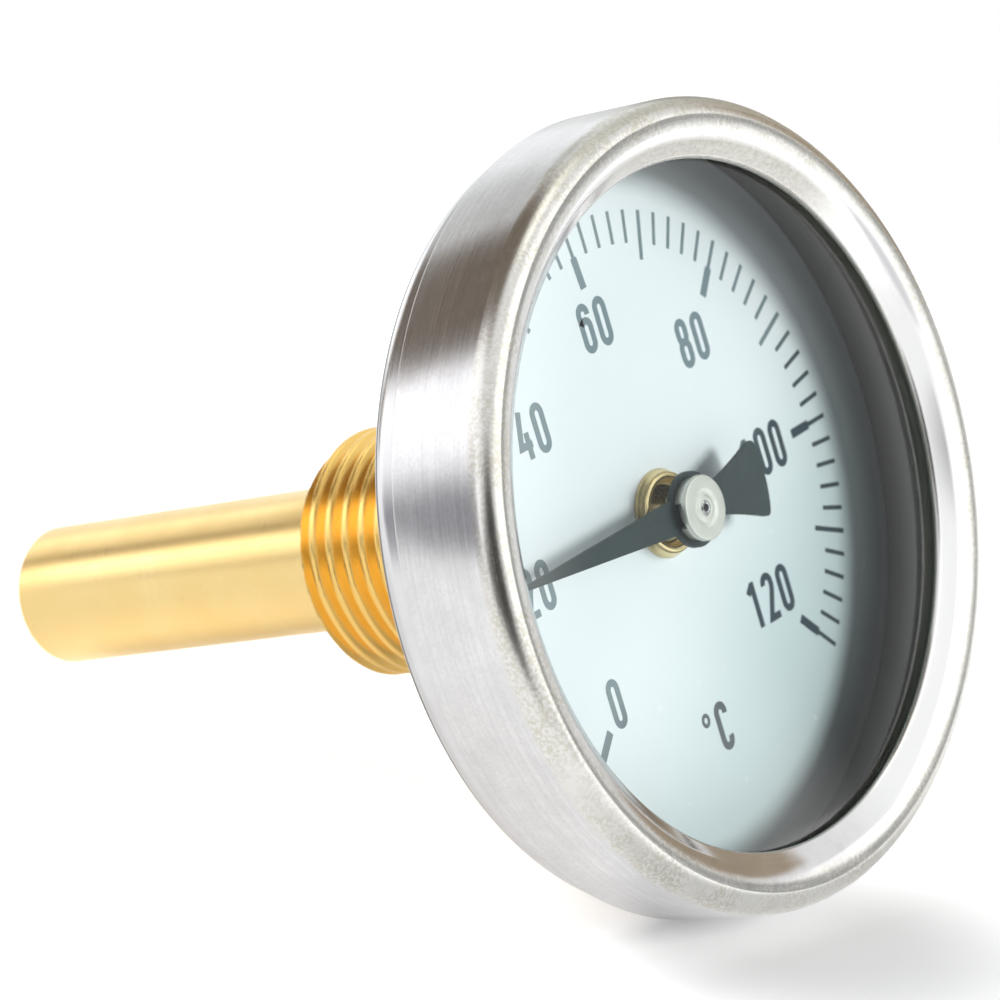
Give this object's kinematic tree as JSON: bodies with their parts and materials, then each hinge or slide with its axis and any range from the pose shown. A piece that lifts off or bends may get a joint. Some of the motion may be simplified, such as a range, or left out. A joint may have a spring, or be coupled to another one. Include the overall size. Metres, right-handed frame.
{
  "type": "dial thermometer",
  "caption": "Round bimetal dial thermometer with a rear stem in a brass screw-in pocket, a turning pointer behind a flat window, and a lock screw.",
  "frame": {"origin": "centre of the pocket's sealing shoulder, where the pipe thread begins", "axes": "+Y along the stem to the tip of the pocket; the dial faces -Y; +Z to the top of the dial; +X to the right of a person who reads the dial"},
  "size_m": [0.0644, 0.0777, 0.0644],
  "materials": {
    "ring_steel": "satin, rolled bright edge",
    "case_steel": "smooth satin",
    "window": "clear",
    "seal": "matte",
    "dial_white": "satin white paint with a printed scale",
    "pointer_dark": "matte dark grey",
    "hub_alloy": "turned",
    "brass_bright": "bright turned",
    "brass_inner": "turned",
    "stem_steel": "drawn tube",
    "screw_steel": "zinc plated",
    "bimetal": "rolled strip"
  },
  "bodies": {
    "pocket": {"thermowell": "brass_bright"},
    "screw": {"lock_screw": "screw_steel"},
    "head": {"bezel": "ring_steel", "window_glass": "window", "window_seal": "seal", "case_cup": "case_steel", "dial_plate": "dial_white", "dial_collar": "brass_bright", "case_neck": "brass_inner", "neck_nut": "brass_inner", "neck_washer": "screw_steel", "stem_tube": "stem_steel", "tip_plug": "brass_inner", "coil_anchor": "screw_steel", "guide_bearing": "brass_inner", "bimetal_coil": "bimetal"},
    "movement": {"spindle": "stem_steel", "pointer": "pointer_dark", "pointer_hub": "hub_alloy", "coil_collar": "brass_inner"}
  },
  "joints": [
    {"name": "head_withdraw", "type": "slide", "parent": "pocket", "child": "head", "axis": [0, -1, 0], "range_m": [0, 0.07]},
    {"name": "pointer_turn", "type": "hinge", "parent": "head", "child": "movement", "pos_m": [0, -0.0167, 0], "axis": [0, 1, 0], "range_deg": [-47.5, 223], "stiffness_Nm_per_rad": 0.0055, "deforming": ["bimetal_coil"]},
    {"name": "lock_screw_turn", "type": "hinge", "parent": "pocket", "child": "screw", "pos_m": [0, -0.0045, 0], "axis": [0, 0, 1], "range_deg": [0, 720]}
  ]
}
